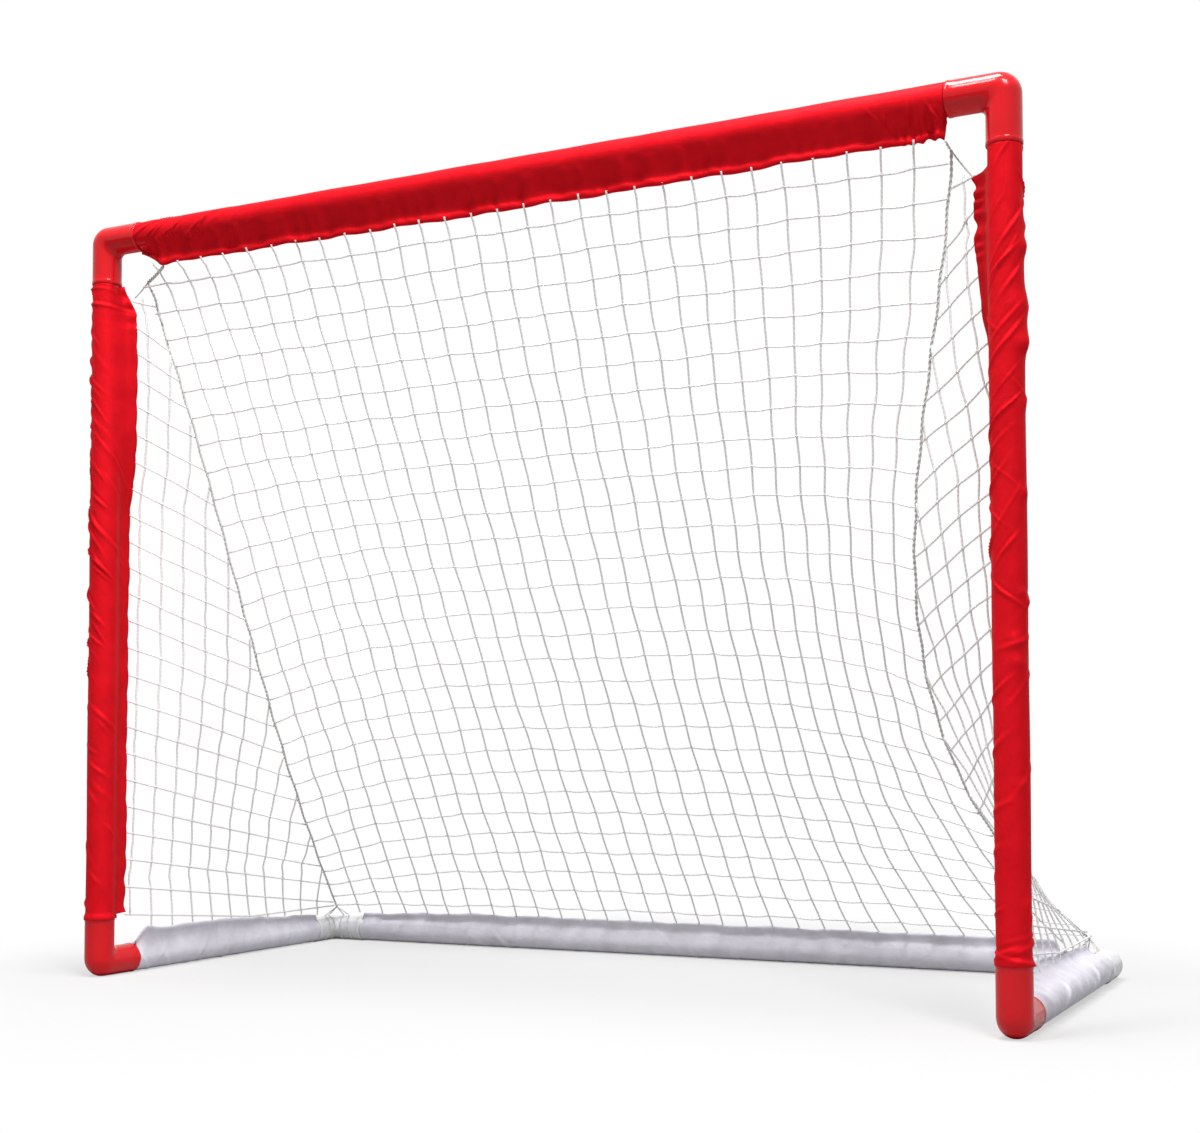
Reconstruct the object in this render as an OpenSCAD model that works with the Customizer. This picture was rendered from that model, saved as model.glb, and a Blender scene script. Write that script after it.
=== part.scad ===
// Street hockey goal: push-fit tube frame, fabric sleeves and a knotted net.
// Millimetres. X is across the mouth, +Y runs to the back and +Z is up.
// The origin is under the middle of the whole goal, on the floor.

/* [Overall size] */
// Width over the corner elbows
goal_w = 1372; // [1100:1:1900]
// Height from the floor to the top of the elbows
goal_h = 1103; // [900:1:1300]
// Depth from the front of the posts to the back of the base
goal_d = 635; // [500:1:800]

/* [Tubes] */
// Outside diameter of every tube
tube_od = 38; // [32:0.5:42]
// Wall of the tubes
tube_wall = 1.8; // [1.2:0.1:3]
// Length of the couplers inside the two-piece bars
coupler_len = 120; // [60:1:200]
// Wall of the couplers
coupler_wall = 1.8; // [1.2:0.1:3]
// Gap between the ends of two tube halves
butt_gap = 0.4; // [0.3:0.1:2]

/* [Elbows] */
// Wall of the elbows round the tubes
elbow_wall = 2; // [1.5:0.1:4]
// Radial clearance of a tube in its socket or on its coupler
socket_fit = 0.08; // [0.02:0.01:0.1]
// Length of an elbow arm, from the axis of the other arm
elbow_arm = 66; // [60:1:80]
// Depth of an elbow socket
socket_depth = 42; // [30:1:45]
// Radius of the elbow's bend, on its axis
elbow_bend = 6; // [4:0.5:10]
// Step inside the elbow that stops the tube
stop_step = 2; // [1.8:0.1:4]
// Depth of the flat under each floor elbow
foot_flat = 0.5; // [0.3:0.1:1]

/* [Fabric sleeves] */
// Thickness of the sleeve cloth
cloth = 1; // [0.6:0.1:1.5]
// Gap between a tube and its sleeve
sleeve_fit = 0.3; // [0.2:0.05:0.5]
// Gap between a sleeve's end and the elbow beside it
sleeve_end_gap = 0.6; // [0.3:0.1:3]
// Reach of the red sewing flange beyond the sleeve
red_flange = 25; // [15:1:40]
// Reach of the white sewing flange beyond the sleeve
white_flange = 18; // [12:1:30]
// Turn of the post flanges from the mouth's plane towards the back
post_flange_turn = 28; // [10:1:40]
// Lean of the base flanges from upright into the goal
base_flange_lean = 26; // [10:1:40]

/* [Netting] */
// Width of the netting's cords
twine = 3; // [2:0.2:4]
// Gap between the netting and what it is sewn to
stitch_gap = 0.3; // [0.3:0.05:0.6]
// Diameter of the border cords
border_cord = 4; // [3:0.5:6]
// Number of cells across the back net
back_cells_x = 14; // [8:1:15]
// Number of cells down the nets
net_cells_z = 12; // [8:1:13]
// Least width of a cell in the side nets
side_cell = 45; // [40:1:120]
// Sag of the back net's middle towards the mouth
back_sag = 46; // [10:1:80]
// How far the folds are drawn in from the sides
fold_draw_in = 112; // [40:1:140]
// How far the folds are drawn towards the mouth
fold_draw_forward = 156; // [60:1:170]
// Distance of a fold's upper end in from its post
fold_top_in = 52; // [45:1:70]
// Distance of a fold's upper end behind its post
fold_top_back = 29; // [15:1:45]

/* [Hidden] */

// Step for a direction along the net, and how far a cutting shape runs past what it cuts
eps = 0.01;
over = 1;
red = "#d8161c";
white = "#f2f2f4";
cloth_white = "#dcdae8";
cord_white = "#e6e6e2";

// Radii that follow from the tube
tube_r = tube_od / 2;
tube_bore_r = tube_r - tube_wall;
socket_r = tube_r + socket_fit;
elbow_r = socket_r + elbow_wall;
passage_r = tube_r - stop_step;
coupler_r = tube_bore_r - socket_fit;
sleeve_in_r = tube_r + sleeve_fit;
sleeve_r = sleeve_in_r + cloth;

// Axes of the frame
post_x = goal_w / 2 - elbow_r;
front_y = -goal_d / 2 + elbow_r;
rear_y = goal_d / 2 - elbow_r;
bar_z = goal_h - elbow_r;
floor_z = elbow_r - foot_flat;

// Where a tube ends in its socket, and where a sleeve ends before the elbow
tube_inset = elbow_arm - socket_depth;
sleeve_inset = elbow_arm + sleeve_end_gap;

// Height of a flange's free edge above or below its tube's axis
red_reach = sleeve_r + red_flange;
white_reach = sleeve_r + white_flange;
white_in = white_reach * sin(base_flange_lean);
white_up = white_reach * cos(base_flange_lean);
post_in = red_reach * cos(post_flange_turn);
post_back = red_reach * sin(post_flange_turn);

$fn = 96;

// ---------- Tubes ----------

// A plain tube of length l along +Z
module tube(l) {
    difference() {
        cylinder(r = tube_r, h = l);
        translate([0, 0, -over]) cylinder(r = tube_bore_r, h = l + 2 * over);
    }
}

// A coupler centred on the origin, along Z
module coupler() {
    difference() {
        cylinder(r = coupler_r, h = coupler_len, center = true);
        cylinder(r = coupler_r - coupler_wall, h = coupler_len + 2 * over, center = true);
    }
}

// One half of a bar across the goal: side is -1 on the left and 1 on the right
module bar_half(side) {
    half_l = post_x - tube_inset - butt_gap / 2;
    translate([side * butt_gap / 2, 0, 0]) rotate([0, side * 90, 0]) tube(half_l);
}

module post(side) {
    post_l = bar_z - floor_z - 2 * tube_inset;
    translate([side * post_x, front_y, floor_z + tube_inset]) tube(post_l);
}

module side_rail(side) {
    rail_l = rear_y - front_y - 2 * tube_inset;
    translate([side * post_x, front_y + tube_inset, floor_z]) rotate([-90, 0, 0]) tube(rail_l);
}

// ---------- Elbows ----------

// A solid right-angled pipe bend of radius r, with arms to +X and +Z
module bend(r, arm) {
    translate([elbow_bend, 0, elbow_bend])
        rotate([90, 0, 0])
            rotate([0, 0, 180])
                rotate_extrude(angle = 90)
                    intersection() {
                        translate([elbow_bend, 0]) circle(r = r);
                        translate([0, -2 * r]) square([4 * r, 4 * r]);
                    }
    translate([0, 0, elbow_bend]) cylinder(r = r, h = arm - elbow_bend);
    translate([elbow_bend, 0, 0]) rotate([0, 90, 0]) cylinder(r = r, h = arm - elbow_bend);
}

// A push-fit elbow with arms to +X and +Z
module elbow() {
    difference() {
        bend(elbow_r, elbow_arm);
        bend(passage_r, elbow_arm - over);
        translate([0, 0, tube_inset]) cylinder(r = socket_r, h = socket_depth + over);
        translate([tube_inset, 0, 0]) rotate([0, 90, 0]) cylinder(r = socket_r, h = socket_depth + over);
    }
}

// Cuts the flat that a floor elbow stands on
module floor_cut() {
    difference() {
        children();
        translate([-goal_w, -goal_d, -2 * elbow_r]) cube([2 * goal_w, 2 * goal_d, 2 * elbow_r]);
    }
}

module top_elbow(side) {
    color(red)
        translate([side * post_x, front_y, bar_z])
            mirror([side > 0 ? 1 : 0, 0, 0])
                rotate([0, 90, 0]) elbow();
}

module foot_elbow(side) {
    color(red)
        floor_cut()
            translate([side * post_x, front_y, floor_z]) rotate([0, 0, 90]) elbow();
}

module rear_elbow(side) {
    color(white)
        floor_cut()
            translate([side * post_x, rear_y, floor_z])
                mirror([side > 0 ? 1 : 0, 0, 0])
                    rotate([90, 0, 0]) elbow();
}

// ---------- Fabric sleeves ----------

// A cloth tube of length l along +Z, with a sewing flange towards +X
module sleeve(l, flange) {
    linear_extrude(height = l)
        difference() {
            union() {
                circle(r = sleeve_r);
                translate([0, -cloth]) square([sleeve_r + flange, 2 * cloth]);
            }
            circle(r = sleeve_in_r);
        }
}

module post_sleeve(side) {
    sleeve_l = bar_z - floor_z - 2 * sleeve_inset;
    turn = side < 0 ? post_flange_turn : 180 - post_flange_turn;
    color(red)
        translate([side * post_x, front_y, floor_z + sleeve_inset])
            rotate([0, 0, turn]) sleeve(sleeve_l, red_flange);
}

module bar_sleeve() {
    sleeve_l = 2 * (post_x - sleeve_inset);
    color(red)
        translate([-sleeve_l / 2, front_y, bar_z]) rotate([0, 90, 0]) sleeve(sleeve_l, red_flange);
}

module side_base_sleeve(side) {
    sleeve_l = rear_y - front_y - 2 * sleeve_inset;
    color(cloth_white)
        translate([side * post_x, front_y + sleeve_inset, floor_z])
            rotate([0, -side * base_flange_lean, 0])
                rotate([-90, 0, 0]) rotate([0, 0, -90]) sleeve(sleeve_l, white_flange);
}

module back_base_sleeve() {
    sleeve_l = 2 * (post_x - sleeve_inset);
    color(cloth_white)
        translate([-sleeve_l / 2, rear_y, floor_z])
            rotate([base_flange_lean, 0, 0])
                rotate([0, 90, 0]) rotate([0, 0, 180]) sleeve(sleeve_l, white_flange);
}

// ---------- The net's surface ----------

function mix(a, b, t) = a + (b - a) * t;
function unit(v) = v / norm(v);

// A bow that is 0 at both ends and 1 in the middle, leaning down by skew
function bow(s, skew) = 4 * s * (1 - s) * (1 + skew * (2 * s - 1));

// Lean of the folds' bow towards the base, across and along the goal
fold_skew_in = 0.36;
fold_skew_forward = 0.5;
// How quickly the back net's bow dies away from a fold to the middle
back_bow_power = 2.5;
back_draw_power = 1.75;
// How quickly the nets leave the crossbar's straight flange and meet the base's
hold_power = 12;
foot_power = 6;
// How quickly a side net's foot swings from the post's flange to the base's
flange_swing_power = 3;

// Distance of an edge cord's middle from what it is sewn to. Its section may stand on a corner.
sewn = stitch_gap + twine * sqrt(2) / 2;
// The same beside a border cord, whose bow the straight edge cords cut across
corded = border_cord / 2 + stitch_gap + twine;

net_top_z = bar_z - red_reach - sewn;
net_end_z = floor_z + white_up + cloth * sin(base_flange_lean) + sewn;

// Middle of the back net, at s from 0 at the crossbar to 1 at the base
mid_top_y = front_y;
mid_end_y = rear_y - white_in;
function mid_y(s) = mix(mid_top_y, mid_end_y, s) - back_sag * bow(s, 0);
function net_z(s) = mix(net_top_z, net_end_z, s);

// The fold between the back and a side, as its distance in from the post and its Y
fold_end_in = white_in + border_cord;
fold_end_y = mid_end_y - border_cord;
function fold_in(s) = mix(fold_top_in, fold_end_in, s) + fold_draw_in * bow(s, fold_skew_in);
function fold_y(s) = mix(front_y + fold_top_back, fold_end_y, s)
    - fold_draw_forward * bow(s, fold_skew_forward);
function fold_point(s) = [post_x - fold_in(s), fold_y(s), net_z(s)];

// The back net, at u from -1 at the left fold to 1 at the right one
top_half_w = post_x - fold_top_in;
function back_point(u, s) =
    let (
        a = abs(u),
        drawn = top_half_w - (post_x - fold_in(s)),
        x = top_half_w * a - drawn * pow(a, back_draw_power),
        lean = (fold_y(s) - mid_y(s)) * pow(a, back_bow_power)
    )
    [sign(u) * x, mid_y(s) + lean * hold_top(s), net_z(s)];

// The top edge stays under the crossbar's straight flange
function hold_top(s) = 1 - pow(1 - s, hold_power);

// The right side net, at w millimetres from the post's flange towards the fold
function post_edge(s) = [post_x - post_in, front_y + post_back, net_z(s)];
function side_width(s) = norm(fold_point(s) - post_edge(s));
function side_point(w, s) =
    let (
        t = w / side_width(s),
        p = mix(post_edge(s), fold_point(s), t),
        rail_in = mix(post_in, white_in, 1 - pow(1 - t, flange_swing_power)),
        foot = pow(s, foot_power)
    )
    [mix(p[0], post_x - rail_in, foot), p[1], p[2]];

// ---------- Netting as one solid ----------

// Each knot is [point, towards the next column, towards the next row]. right[i] and down[i]
// give the knot that a cord runs to, or -1. Every knot is a small block with 8 corners, and
// every cord joins the facing sides of two blocks.
function corner(k, a, b, c) = 8 * k + a + 2 * b + 4 * c;
function block(knot) =
    let (
        n = unit(cross(knot[1], knot[2])),
        e2 = cross(n, knot[1])
    )
    [for (c = [-0.5, 0.5]) for (b = [-0.5, 0.5]) for (a = [-0.5, 0.5])
        knot[0] + twine * (a * knot[1] + b * e2 + c * n)];

function quad(a, b, c, d) = [[a, b, c], [a, c, d]];

// Corners of a block's side, in order round the cord: 0 right, 1 left, 2 down, 3 up
function ring(k, side) =
    side == 0 ? [corner(k, 1, 0, 0), corner(k, 1, 1, 0), corner(k, 1, 1, 1), corner(k, 1, 0, 1)] :
    side == 1 ? [corner(k, 0, 0, 0), corner(k, 0, 1, 0), corner(k, 0, 1, 1), corner(k, 0, 0, 1)] :
    side == 2 ? [corner(k, 0, 1, 0), corner(k, 1, 1, 0), corner(k, 1, 1, 1), corner(k, 0, 1, 1)] :
                [corner(k, 0, 0, 0), corner(k, 1, 0, 0), corner(k, 1, 0, 1), corner(k, 0, 0, 1)];

function cord_faces(p, q, flip) =
    [for (i = [0:3])
        let (j = (i + 1) % 4)
        each (flip ? quad(p[j], p[i], q[i], q[j]) : quad(p[i], p[j], q[j], q[i]))];

function cap(p, flip) = flip ? quad(p[3], p[2], p[1], p[0]) : quad(p[0], p[1], p[2], p[3]);

function has(list, k) = len([for (v = list) if (v == k) v]) > 0;

// The cords of a fold's edge leave a block on its right and reach the next one from above
function turned(p) = [p[1], p[0], p[3], p[2]];

module netting(knots, right, down, fold) {
    n = len(knots);
    points = [for (k = knots) each block(k)];
    faces = [
        for (k = [0:n - 1])
            each concat(
                quad(corner(k, 0, 0, 0), corner(k, 1, 0, 0), corner(k, 1, 1, 0), corner(k, 0, 1, 0)),
                quad(corner(k, 0, 0, 1), corner(k, 0, 1, 1), corner(k, 1, 1, 1), corner(k, 1, 0, 1)),
                right[k] >= 0 ? cord_faces(ring(k, 0), ring(right[k], 1), true) :
                fold[k] >= 0 ? cord_faces(ring(k, 0), turned(ring(fold[k], 3)), true) :
                cap(ring(k, 0), true),
                down[k] >= 0 ? cord_faces(ring(k, 2), ring(down[k], 3), false) :
                cap(ring(k, 2), false),
                has(right, k) ? [] : cap(ring(k, 1), false),
                has(down, k) || has(fold, k) ? [] : cap(ring(k, 3), true)
            )
    ];
    polyhedron(points = points, faces = faces, convexity = 10);
}

// ---------- Back net ----------

// The edge columns stop beside the border cords, which they meet at a slant
back_edge_u = 1 - (corded + twine) / top_half_w;

function back_at(i, j) =
    back_point(back_edge_u * (2 * i / back_cells_x - 1), j / net_cells_z);

module back_net() {
    nx = back_cells_x;
    nz = net_cells_z;
    knots = [
        for (j = [0:nz]) for (i = [0:nx])
            [
                back_at(i, j),
                unit(back_at(min(i + 1, nx), j) - back_at(max(i - 1, 0), j)),
                unit(back_at(i, min(j + 1, nz)) - back_at(i, max(j - 1, 0)))
            ]
    ];
    right = [for (j = [0:nz]) for (i = [0:nx]) i < nx ? j * (nx + 1) + i + 1 : -1];
    down = [for (j = [0:nz]) for (i = [0:nx]) j < nz ? (j + 1) * (nx + 1) + i : -1];
    fold = [for (k = knots) -1];
    color(cord_white) netting(knots, right, down, fold);
}

// ---------- Side nets ----------

// Row j runs from the post's flange to the fold. A column hangs from the end of a row, wherever
// the rows have grown by a cell since the last column, and goes straight down to the base.
side_first_row = 1;
side_start_w = sewn + cloth;
function side_s(j) = j / net_cells_z;
function side_end_w(j) = side_width(side_s(j)) - corded;
function column_rows(j, w) =
    j >= net_cells_z ? [] :
    side_end_w(j) - w < side_cell ? column_rows(j + 1, w) :
    concat([j], column_rows(j + 1, side_end_w(j)));
side_columns = column_rows(side_first_row, side_start_w - side_cell / 2);

// Distances of row j's knots from the post's flange
function side_row(j) = concat(
    [side_start_w],
    [for (c = side_columns) if (c < j) side_end_w(c)],
    [side_end_w(j)]
);
function side_row_start(j) =
    j <= side_first_row ? 0 : side_row_start(j - 1) + len(side_row(j - 1));

module side_net() {
    nz = net_cells_z;
    knots = [
        for (j = [side_first_row:nz])
            let (row = side_row(j), last = len(row) - 1)
            for (i = [0:last])
                let (s = side_s(j), w = row[i])
                [
                    side_point(w, s),
                    unit(side_point(w + 1, s) - side_point(w - 1, s)),
                    unit(side_point(w, s + eps) - side_point(w, s - eps))
                ]
    ];
    right = [
        for (j = [side_first_row:nz])
            let (last = len(side_row(j)) - 1)
            for (i = [0:last]) i < last ? side_row_start(j) + i + 1 : -1
    ];
    down = [
        for (j = [side_first_row:nz])
            let (last = len(side_row(j)) - 1)
            for (i = [0:last])
                j < nz && (i < last || has(side_columns, j)) ? side_row_start(j + 1) + i : -1
    ];
    fold = [
        for (j = [side_first_row:nz])
            let (last = len(side_row(j)) - 1)
            for (i = [0:last])
                j < nz && i == last ? side_row_start(j + 1) + len(side_row(j + 1)) - 1 : -1
    ];
    color(cord_white) netting(knots, right, down, fold);
}

// ---------- Border cords ----------

cord_sides = 8;
seam_rings = 24;

// A cord swept along a list of points, as a tube of flat sides. The vector across is never
// along the cord.
module swept_cord(path, across) {
    n = len(path);
    points = [
        for (j = [0:n - 1])
            let (
                d = unit(path[min(j + 1, n - 1)] - path[max(j - 1, 0)]),
                e1 = unit(cross(d, across)),
                e2 = cross(d, e1)
            )
            for (i = [0:cord_sides - 1])
                let (a = 360 * i / cord_sides)
                path[j] + border_cord / 2 * (cos(a) * e1 + sin(a) * e2)
    ];
    walls = [
        for (j = [0:n - 2]) for (i = [0:cord_sides - 1])
            let (
                a = j * cord_sides + i,
                b = j * cord_sides + (i + 1) % cord_sides
            )
            each quad(a, a + cord_sides, b + cord_sides, b)
    ];
    end = (n - 1) * cord_sides;
    caps = [
        for (i = [1:cord_sides - 2])
            each [[0, i, i + 1], [end, end + i + 1, end + i]]
    ];
    polyhedron(points = points, faces = concat(walls, caps), convexity = 6);
}

// The doubled cord down a fold, clear of the corner cord above it
module seam_cord() {
    start_s = (border_cord + stitch_gap) / (net_top_z - net_end_z);
    path = [for (j = [0:seam_rings]) fold_point(mix(start_s, 1, j / seam_rings))];
    color(cord_white) swept_cord(path, [0, 1, 0]);
}

// The cord across a top corner, from the crossbar's flange past the fold to the post's flange.
// It bends round the fold over corner_bend of its length, and is drawn in by corner_pull.
corner_bend = 0.15;
corner_pull = 0.05;
module corner_cord() {
    r = border_cord / 2;
    fold_end = fold_point(0);
    bar_end = [post_x - sleeve_inset - r, front_y + cloth + r + stitch_gap, bar_z - red_reach + r];
    post_end = [post_x - post_in, front_y + post_back + cloth + r + stitch_gap, bar_z - sleeve_inset - r];
    path = [
        bar_end,
        mix(fold_end, bar_end, corner_bend),
        mix(fold_end, (bar_end + post_end) / 2, corner_pull),
        mix(fold_end, post_end, corner_bend),
        post_end
    ];
    color(cord_white) swept_cord(path, [0, 1, 0]);
}

module on_left() {
    mirror([1, 0, 0]) children();
}

// ---------- The goal ----------

color(red) translate([0, front_y, bar_z]) bar_half(-1);  // crossbar_left_half
color(red) translate([0, front_y, bar_z]) bar_half(1);  // crossbar_right_half
color(red) translate([0, front_y, bar_z]) rotate([0, 90, 0]) coupler();  // crossbar_coupler
color(red) post(-1);  // left_post
color(red) post(1);  // right_post
top_elbow(-1);  // top_left_elbow
top_elbow(1);  // top_right_elbow
foot_elbow(-1);  // left_foot_elbow
foot_elbow(1);  // right_foot_elbow
bar_sleeve();  // crossbar_sleeve
post_sleeve(-1);  // left_post_sleeve
post_sleeve(1);  // right_post_sleeve
back_net();
on_left() side_net();  // left_side_net
side_net();  // right_side_net
on_left() seam_cord();  // left_net_seam_cord
seam_cord();  // right_net_seam_cord
on_left() corner_cord();  // left_corner_cord
corner_cord();  // right_corner_cord
color(white) side_rail(-1);  // left_side_rail
color(white) side_rail(1);  // right_side_rail
rear_elbow(-1);  // rear_left_elbow
rear_elbow(1);  // rear_right_elbow
color(white) translate([0, rear_y, floor_z]) bar_half(-1);  // rear_rail_left_half
color(white) translate([0, rear_y, floor_z]) bar_half(1);  // rear_rail_right_half
color(white) translate([0, rear_y, floor_z]) rotate([0, 90, 0]) coupler();  // rear_rail_coupler
side_base_sleeve(-1);  // left_base_sleeve
side_base_sleeve(1);  // right_base_sleeve
back_base_sleeve();  // rear_base_sleeve
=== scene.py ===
"""Street hockey goal: gloss elbows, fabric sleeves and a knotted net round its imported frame.

Shapes are worked out in millimetres, in the frame's own axes: X across the mouth, +Y to the
back, +Z up. They are turned to metres when they go into a mesh.
"""

import bpy
import numpy as np
from bpy.props import FloatProperty, FloatVectorProperty, PointerProperty
from mathutils import Matrix, Vector


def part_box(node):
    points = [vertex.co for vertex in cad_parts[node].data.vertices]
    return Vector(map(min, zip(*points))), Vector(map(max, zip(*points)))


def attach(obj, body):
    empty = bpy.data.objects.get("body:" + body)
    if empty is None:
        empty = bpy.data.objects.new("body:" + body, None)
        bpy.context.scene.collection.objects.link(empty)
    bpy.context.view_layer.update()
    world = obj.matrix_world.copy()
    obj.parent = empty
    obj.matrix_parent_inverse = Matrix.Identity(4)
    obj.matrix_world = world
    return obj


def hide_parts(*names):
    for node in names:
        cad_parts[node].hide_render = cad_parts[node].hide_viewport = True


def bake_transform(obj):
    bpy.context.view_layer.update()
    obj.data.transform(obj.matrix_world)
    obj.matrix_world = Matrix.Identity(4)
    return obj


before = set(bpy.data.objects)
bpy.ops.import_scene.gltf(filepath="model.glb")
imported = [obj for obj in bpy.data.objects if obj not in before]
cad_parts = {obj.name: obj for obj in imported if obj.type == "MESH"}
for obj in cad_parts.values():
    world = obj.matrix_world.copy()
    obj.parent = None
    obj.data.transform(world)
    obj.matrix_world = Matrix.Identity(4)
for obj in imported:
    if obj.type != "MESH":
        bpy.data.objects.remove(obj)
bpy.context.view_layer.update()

bl_info = {
    "name": "Street Hockey Goal",
    "version": (1, 0, 0),
    "blender": (4, 5, 0),
    "location": "View3D > Sidebar > Goal",
    "description": "Builds the elbows, fabric sleeves and netting of a street hockey goal",
    "category": "Add Mesh",
}

MM = 0.001
TAU = 2 * np.pi


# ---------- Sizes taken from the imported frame, in millimetres ----------

def box_mm(node):
    """Lowest and highest corners of a CAD node, in millimetres."""
    lo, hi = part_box(node)
    return np.array(lo) / MM, np.array(hi) / MM


elbow_lo, elbow_hi = box_mm("top_left_elbow")
ELBOW_R = (elbow_hi[1] - elbow_lo[1]) / 2
ELBOW_ARM = elbow_hi[0] - elbow_lo[0] - ELBOW_R
FRONT_Y = (elbow_hi[1] + elbow_lo[1]) / 2
POST_X = -elbow_lo[0] - ELBOW_R
BAR_Z = elbow_hi[2] - ELBOW_R
rail_lo, rail_hi = box_mm("left_side_rail")
TUBE_R = (rail_hi[0] - rail_lo[0]) / 2
FLOOR_Z = (rail_hi[2] + rail_lo[2]) / 2
REAR_Y = box_mm("rear_left_elbow")[1][1] - ELBOW_R
sleeve_lo, sleeve_hi = box_mm("crossbar_sleeve")
SLEEVE_R = (sleeve_hi[1] - sleeve_lo[1]) / 2
BAR_SLEEVE_END = sleeve_hi[0]
RED_REACH = BAR_Z - sleeve_lo[2]
SLEEVE_INSET = POST_X - BAR_SLEEVE_END
POST_LOW, POST_HIGH = FLOOR_Z + SLEEVE_INSET, BAR_Z - SLEEVE_INSET

# The same lengths and angles as in the part's source: the reach of the flanges beyond their
# tubes, the turn of the posts' and the lean of the base's, how far the net's edge lies from a
# hem, and the border cord's thickness
RED_FLANGE, WHITE_FLANGE = 25.0, 18.0
RED_TURN = np.radians(28)
WHITE_LEAN = np.radians(26)
WHITE_REACH = SLEEVE_R + WHITE_FLANGE
WHITE_IN = WHITE_REACH * np.sin(WHITE_LEAN)
WHITE_UP = WHITE_REACH * np.cos(WHITE_LEAN)
SEWN = 2.42
BORDER = 4.0

# The posts' flanges turn further towards their lower ends than the frame's do
RED_TURN_LOW = np.radians(80)
# Middle of the cloth round a tube, reach of a flange at a cut end, depth of the flat hem, half
# the space between a flange's two layers, and least height of cloth over the floor
CLOTH_R = SLEEVE_R - 0.55
LEAST_FLANGE = 6.0
HEM = 8.0
LAYER_GAP = 0.45
CLOTH_CLEAR = 0.65
# Angle from the hem at which each sleeve's cloth leaves its tube
BAR_LEAVE, POST_LEAVE, BASE_LEAVE = np.radians([66, 60, 50])

# The net runs from the crossbar's hem, s = 0, to the base's, s = 1
NET_TOP = BAR_Z - RED_REACH - SEWN
NET_END = FLOOR_Z + WHITE_UP + np.sin(WHITE_LEAN) + SEWN
NET_HEIGHT = NET_TOP - NET_END
BACK_SAG = 46.0
FOLD_TOP_IN = 52.0
TOP_HALF = POST_X - FOLD_TOP_IN
CELL = 39
BACK_COLUMNS = np.arange(-14, 15)
SIDE_COLUMNS = np.arange(0, 13)
# Most rows of the back net, and s at which its upright strands start and end
MOST_ROWS = 29
STRAND_TOP, STRAND_END = -0.004, 1.009
# s of the side nets' last row, at which the strand beside the post ends
LAST_ROW = 0.9715

# Each fold's upper end in from its post and behind it, how far it is drawn in and forward, and
# how low both bows lean: a little either side of the frame's own fold, as the two hang unevenly
FOLDS = {
    -1: dict(top_in=48.7, top_back=24.0, draw_in=102.3, forward=149.3, skew_in=0.27, skew=0.46),
    1: dict(top_in=66.0, top_back=24.0, draw_in=105.6, forward=153.5, skew_in=0.68, skew=0.41),
}

# Each top corner's cord: how far in from the post it leaves the crossbar's flange, s at which
# it meets the fold, how far below the sleeve's end it is sewn to the post's flange, and how
# far apart its two strands lie, in strands
CORNERS = {
    -1: dict(bar_in=104, fold_s=0.0128, down=16, apart=1.3),
    1: dict(bar_in=SLEEVE_INSET + BORDER / 2, fold_s=0.0043, down=24, apart=0.8),
}

X, Y, Z = np.eye(3)
SIDES = (-1, "left"), (1, "right")


# ---------- Colours ----------

def linear(hex_colour):
    """An sRGB colour, as 0xRRGGBB, in Blender's linear values."""
    c = np.array([hex_colour >> 16 & 255, hex_colour >> 8 & 255, hex_colour & 255]) / 255
    return tuple(np.where(c <= 0.04045, c / 12.92, ((c + 0.055) / 1.055) ** 2.4).tolist())


def colour(name, text, hex_colour):
    return FloatVectorProperty(
        name=name, description=text, subtype="COLOR", size=3, min=0, max=1,
        default=linear(hex_colour),
    )


def length(name, text, mm, most):
    return FloatProperty(
        name=name, description=text, subtype="DISTANCE", unit="LENGTH",
        default=mm * MM, min=0, max=most * MM,
    )


class GoalSizes(bpy.types.PropertyGroup):
    """Sizes of the netting and the cloth that can be changed without changing the frame."""

    twine: length("Twine", "Diameter of the netting's twine", 2.7, 4)
    cell: length("Cell", "Side of a cell of the netting", CELL, 80)
    knot: length("Knot", "Length of a knot in the netting", 5.4, 10)
    fold_cord: length("Fold Cord", "Diameter of each strand of the fold and corner cords", 2.1, 4)
    cloth: length("Cloth", "Thickness of the sleeves' cloth", 0.6, 2)
    wrinkle: length("Wrinkle", "Height of the wrinkles in the red cloth", 2.4, 6)
    base_wrinkle: length("Base Wrinkle", "Height of the wrinkles in the white cloth", 2.0, 6)
    inner_fillet: length("Inner Fillet", "Radius in the inner corner of an elbow", 9, 20)


class GoalColours(bpy.types.PropertyGroup):
    """Colours of the goal's finishes."""

    elbow_red: colour("Red Elbow", "Colour of the red elbows and tubes", 0xD60F1A)
    elbow_white: colour("White Elbow", "Colour of the white elbows and tubes", 0xECECF0)
    cloth_red: colour("Red Cloth", "Colour of the red sleeves", 0xDA1722)
    cloth_white: colour("White Cloth", "Colour of the white sleeves", 0xE2E0EA)
    twine: colour("Twine", "Colour of the netting", 0xFAFAF8)
    cord: colour("Cord", "Colour of the border cords", 0xDADAD6)
    floor: colour("Floor", "Colour of the studio floor", 0xCCCCCC)


def size(name):
    """A changeable size in millimetres."""
    return getattr(bpy.context.scene.goal_sizes, name) / MM


def shade(name):
    """A changeable colour with full alpha."""
    return (*getattr(bpy.context.scene.goal_colours, name), 1)


# ---------- Meshes ----------

def unit(v):
    return v / np.maximum(np.linalg.norm(v, axis=-1, keepdims=True), 1e-9)


def mix(a, b, t):
    return a + (b - a) * t


def smooth(a, b, v):
    """0 below a, 1 above b, and 3t^2 - 2t^3 between them."""
    t = np.clip((v - a) / (b - a), 0, 1)
    return t * t * (3 - 2 * t)


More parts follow.
